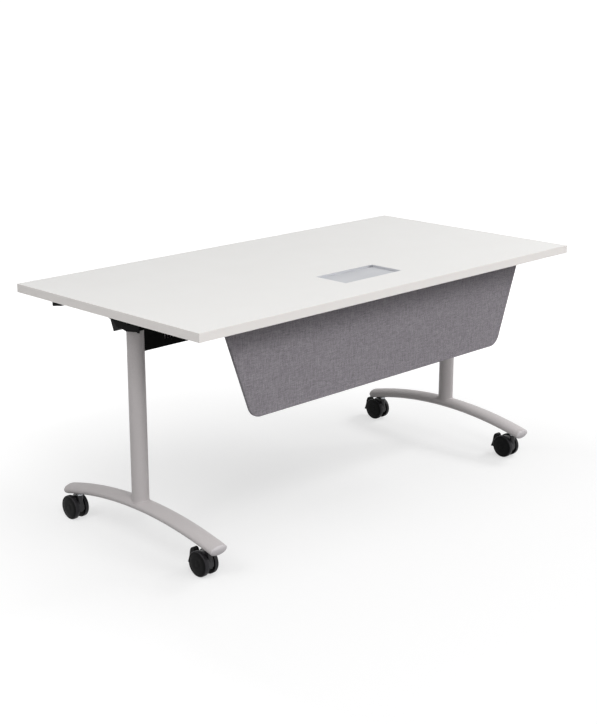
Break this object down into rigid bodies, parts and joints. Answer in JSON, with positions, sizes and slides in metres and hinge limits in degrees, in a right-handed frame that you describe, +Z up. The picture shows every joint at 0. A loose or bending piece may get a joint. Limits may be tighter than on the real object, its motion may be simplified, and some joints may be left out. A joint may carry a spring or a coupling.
{
  "type": "flip top training table",
  "caption": "Rectangular meeting table whose top flips up for nesting, on column legs with arched feet and casters, with a fabric modesty panel and a lidded power recess.",
  "frame": {"origin": "on the floor under the middle of the top", "axes": "+X along the table's length to the right, -Y to the front where the modesty panel hangs, +Z up"},
  "size_m": [1.6, 0.8, 0.735],
  "materials": {
    "laminate": "matte white laminate on board",
    "edge_band": "matte white edge band",
    "recess_metal": "satin anodised",
    "black_steel": "black powder coat",
    "black_plastic": "moulded, fine grain",
    "bright_steel": "zinc plated",
    "bumper_rubber": "matte",
    "panel_fabric": "grey heather weave over board",
    "silver_paint": "silver metallic powder coat",
    "silver_plastic": "silver painted",
    "wheel_plastic": "satin nylon"
  },
  "bodies": {
    "base": {"column_left": "silver_paint", "column_right": "silver_paint", "foot_left": "silver_paint", "foot_right": "silver_paint", "foot_cap_left_front": "silver_plastic", "foot_cap_left_rear": "silver_plastic", "foot_cap_right_front": "silver_plastic", "foot_cap_right_rear": "silver_plastic", "pivot_head_left": "black_steel", "pivot_head_right": "black_steel", "pivot_pin_left": "black_steel", "pivot_pin_right": "black_steel", "cross_beam": "black_steel", "caster_stem_left_front": "bright_steel", "caster_stem_left_rear": "bright_steel", "caster_stem_right_front": "bright_steel", "caster_stem_right_rear": "bright_steel"},
    "top": {"top_board": "laminate", "edge_band_front": "edge_band", "edge_band_rear": "edge_band", "edge_band_left": "edge_band", "edge_band_right": "edge_band", "recess_frame": "recess_metal", "power_box": "black_steel", "outlet_block": "black_plastic", "hinge_bracket_left": "black_steel", "hinge_bracket_right": "black_steel", "lever_pin_left": "black_steel", "lever_pin_right": "black_steel", "lever_spring_left": "bright_steel", "lever_spring_right": "bright_steel", "nesting_bumper_left": "bumper_rubber", "nesting_bumper_right": "bumper_rubber", "panel_hinge_left": "black_steel", "panel_hinge_right": "black_steel"},
    "lid": {"recess_lid": "recess_metal"},
    "panel": {"modesty_panel": "panel_fabric", "panel_knuckle_left": "black_steel", "panel_knuckle_right": "black_steel"},
    "lever_left": {"release_lever_left": "black_plastic"},
    "lever_right": {"release_lever_right": "black_plastic"},
    "swivel_left_front": {"caster_body_left_front": "black_plastic", "caster_axle_left_front": "bright_steel"},
    "swivel_left_rear": {"caster_body_left_rear": "black_plastic", "caster_axle_left_rear": "bright_steel"},
    "swivel_right_front": {"caster_body_right_front": "black_plastic", "caster_axle_right_front": "bright_steel"},
    "swivel_right_rear": {"caster_body_right_rear": "black_plastic", "caster_axle_right_rear": "bright_steel"},
    "wheel_left_front_left": {"caster_wheel_left_front_left": "wheel_plastic"},
    "wheel_left_front_right": {"caster_wheel_left_front_right": "wheel_plastic"},
    "wheel_left_rear_left": {"caster_wheel_left_rear_left": "wheel_plastic"},
    "wheel_left_rear_right": {"caster_wheel_left_rear_right": "wheel_plastic"},
    "wheel_right_front_left": {"caster_wheel_right_front_left": "wheel_plastic"},
    "wheel_right_front_right": {"caster_wheel_right_front_right": "wheel_plastic"},
    "wheel_right_rear_left": {"caster_wheel_right_rear_left": "wheel_plastic"},
    "wheel_right_rear_right": {"caster_wheel_right_rear_right": "wheel_plastic"},
    "pedal_left_front": {"brake_pedal_left_front": "black_plastic"},
    "pedal_right_front": {"brake_pedal_right_front": "black_plastic"},
    "pedal_right_rear": {"brake_pedal_right_rear": "black_plastic"}
  },
  "joints": [
    {"name": "top_flip", "type": "hinge", "parent": "base", "child": "top", "pos_m": [0, 0, 0.678], "axis": [1, 0, 0], "range_deg": [0, 90]},
    {"name": "lid_open", "type": "hinge", "parent": "top", "child": "lid", "pos_m": [0, -0.2632, 0.72715], "axis": [1, 0, 0], "range_deg": [0, 95]},
    {"name": "panel_swing", "type": "hinge", "parent": "top", "child": "panel", "pos_m": [0, -0.315, 0.697], "axis": [1, 0, 0], "range_deg": [-90, 0]},
    {"name": "lever_left_pull", "type": "hinge", "parent": "top", "child": "lever_left", "pos_m": [-0.688, 0.066, 0.69], "axis": [1, 0, 0], "range_deg": [0, 15], "stiffness_Nm_per_rad": 1.2, "springref_deg": -11.46},
    {"name": "lever_right_pull", "type": "hinge", "parent": "top", "child": "lever_right", "pos_m": [0.688, 0.066, 0.69], "axis": [1, 0, 0], "range_deg": [0, 15], "stiffness_Nm_per_rad": 1.2, "springref_deg": -11.46},
    {"name": "swivel_left_front_turn", "type": "hinge", "parent": "base", "child": "swivel_left_front", "pos_m": [-0.688, -0.29475, 0.06], "axis": [0, 0, 1], "continuous": true},
    {"name": "swivel_left_rear_turn", "type": "hinge", "parent": "base", "child": "swivel_left_rear", "pos_m": [-0.688, 0.29475, 0.06], "axis": [0, 0, 1], "continuous": true},
    {"name": "swivel_right_front_turn", "type": "hinge", "parent": "base", "child": "swivel_right_front", "pos_m": [0.688, -0.29475, 0.06], "axis": [0, 0, 1], "continuous": true},
    {"name": "swivel_right_rear_turn", "type": "hinge", "parent": "base", "child": "swivel_right_rear", "pos_m": [0.688, 0.29475, 0.06], "axis": [0, 0, 1], "continuous": true},
    {"name": "wheel_left_front_left_spin", "type": "hinge", "parent": "swivel_left_front", "child": "wheel_left_front_left", "pos_m": [-0.688, -0.26975, 0.0375], "axis": [1, 0, 0], "continuous": true},
    {"name": "wheel_left_front_right_spin", "type": "hinge", "parent": "swivel_left_front", "child": "wheel_left_front_right", "pos_m": [-0.688, -0.26975, 0.0375], "axis": [1, 0, 0], "continuous": true},
    {"name": "wheel_left_rear_left_spin", "type": "hinge", "parent": "swivel_left_rear", "child": "wheel_left_rear_left", "pos_m": [-0.688, 0.31975, 0.0375], "axis": [1, 0, 0], "continuous": true},
    {"name": "wheel_left_rear_right_spin", "type": "hinge", "parent": "swivel_left_rear", "child": "wheel_left_rear_right", "pos_m": [-0.688, 0.31975, 0.0375], "axis": [1, 0, 0], "continuous": true},
    {"name": "wheel_right_front_left_spin", "type": "hinge", "parent": "swivel_right_front", "child": "wheel_right_front_left", "pos_m": [0.688, -0.26975, 0.0375], "axis": [1, 0, 0], "continuous": true},
    {"name": "wheel_right_front_right_spin", "type": "hinge", "parent": "swivel_right_front", "child": "wheel_right_front_right", "pos_m": [0.688, -0.26975, 0.0375], "axis": [1, 0, 0], "continuous": true},
    {"name": "wheel_right_rear_left_spin", "type": "hinge", "parent": "swivel_right_rear", "child": "wheel_right_rear_left", "pos_m": [0.688, 0.31975, 0.0375], "axis": [1, 0, 0], "continuous": true},
    {"name": "wheel_right_rear_right_spin", "type": "hinge", "parent": "swivel_right_rear", "child": "wheel_right_rear_right", "pos_m": [0.688, 0.31975, 0.0375], "axis": [1, 0, 0], "continuous": true},
    {"name": "pedal_left_front_rock", "type": "hinge", "parent": "swivel_left_front", "child": "pedal_left_front", "pos_m": [-0.688, -0.23675, 0.0595], "axis": [1, 0, 0], "range_deg": [0, 8]},
    {"name": "pedal_right_front_rock", "type": "hinge", "parent": "swivel_right_front", "child": "pedal_right_front", "pos_m": [0.688, -0.23675, 0.0595], "axis": [1, 0, 0], "range_deg": [0, 8]},
    {"name": "pedal_right_rear_rock", "type": "hinge", "parent": "swivel_right_rear", "child": "pedal_right_rear", "pos_m": [0.688, 0.35275, 0.0595], "axis": [1, 0, 0], "range_deg": [0, 8]}
  ]
}
